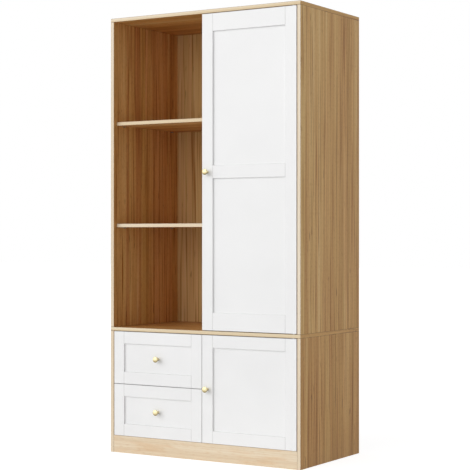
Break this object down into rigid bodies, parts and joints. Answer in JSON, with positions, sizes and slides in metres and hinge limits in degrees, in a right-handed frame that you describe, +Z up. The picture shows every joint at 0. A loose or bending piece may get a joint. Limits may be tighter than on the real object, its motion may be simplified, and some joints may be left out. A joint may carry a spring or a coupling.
{
  "type": "wardrobe with drawers",
  "caption": "Oak-faced wardrobe with an open shelf column above drawers, beside a tall hinged door above a small one; white framed fronts with small brass knobs.",
  "frame": {"origin": "on the floor under the middle of the carcass's width and depth, on the underside of the centre bearer", "axes": "+X to the right seen from the front, +Y to the back, +Z up"},
  "size_m": [0.9, 0.525, 1.8],
  "materials": {
    "oak_board": "oak decor on chipboard, matt",
    "oak_back": "oak decor on fibreboard, matt",
    "white_lacquer": "white lacquered fibreboard, satin",
    "drawer_board": "white faced chipboard, matt",
    "beech": "fluted beech, raw",
    "brass": "turned and polished",
    "steel": "zinc plated, satin",
    "zinc_alloy": "die cast, dull",
    "nylon": "moulded, matt"
  },
  "bodies": {
    "carcass": {"top_panel": "oak_board", "middle_panel": "oak_board", "bottom_panel": "oak_board", "upper_left_side": "oak_board", "upper_right_side": "oak_board", "lower_left_side": "oak_board", "lower_right_side": "oak_board", "upper_partition": "oak_board", "lower_partition": "oak_board", "front_plinth": "oak_board", "rear_plinth": "oak_board", "centre_bearer": "oak_board", "upper_back_panel": "oak_back", "lower_back_panel": "oak_back", "upper_shelf": "oak_board", "lower_shelf": "oak_board", "shelf_pins": "steel", "assembly_screws": "steel", "dowels": "beech", "cam_bolts": "steel", "cam_locks": "zinc_alloy", "hanging_rail": "steel", "rail_sockets": "zinc_alloy", "small_screws": "steel", "door_pivots": "steel", "magnetic_catches": "nylon", "cabinet_runners": "steel"},
    "tall_door": {"tall_door_left_stile": "white_lacquer", "tall_door_right_stile": "white_lacquer", "tall_door_bottom_rail": "white_lacquer", "tall_door_middle_rail": "white_lacquer", "tall_door_top_rail": "white_lacquer", "tall_door_panels": "white_lacquer", "tall_door_knob": "brass", "tall_door_bushes": "nylon", "tall_door_strike": "steel"},
    "lower_door": {"lower_door_left_stile": "white_lacquer", "lower_door_right_stile": "white_lacquer", "lower_door_bottom_rail": "white_lacquer", "lower_door_top_rail": "white_lacquer", "lower_door_panel": "white_lacquer", "lower_door_knob": "brass", "lower_door_bushes": "nylon", "lower_door_strike": "steel"},
    "upper_drawer": {"upper_drawer_front_stiles": "white_lacquer", "upper_drawer_front_rails": "white_lacquer", "upper_drawer_front_panel": "white_lacquer", "upper_drawer_box_sides": "drawer_board", "upper_drawer_box_ends": "drawer_board", "upper_drawer_bottom": "drawer_board", "upper_drawer_knob": "brass", "upper_drawer_runners": "steel"},
    "lower_drawer": {"lower_drawer_front_stiles": "white_lacquer", "lower_drawer_front_rails": "white_lacquer", "lower_drawer_front_panel": "white_lacquer", "lower_drawer_box_sides": "drawer_board", "lower_drawer_box_ends": "drawer_board", "lower_drawer_bottom": "drawer_board", "lower_drawer_knob": "brass", "lower_drawer_runners": "steel"}
  },
  "joints": [
    {"name": "tall_door_swing", "type": "hinge", "parent": "carcass", "child": "tall_door", "pos_m": [0.416, -0.242, 1.152], "axis": [0, 0, 1], "range_deg": [0, 110]},
    {"name": "lower_door_swing", "type": "hinge", "parent": "carcass", "child": "lower_door", "pos_m": [0.416, -0.242, 0.2865], "axis": [0, 0, 1], "range_deg": [0, 110]},
    {"name": "upper_drawer_slide", "type": "slide", "parent": "carcass", "child": "upper_drawer", "axis": [0, -1, 0], "range_m": [0, 0.3]},
    {"name": "lower_drawer_slide", "type": "slide", "parent": "carcass", "child": "lower_drawer", "axis": [0, -1, 0], "range_m": [0, 0.3]}
  ]
}
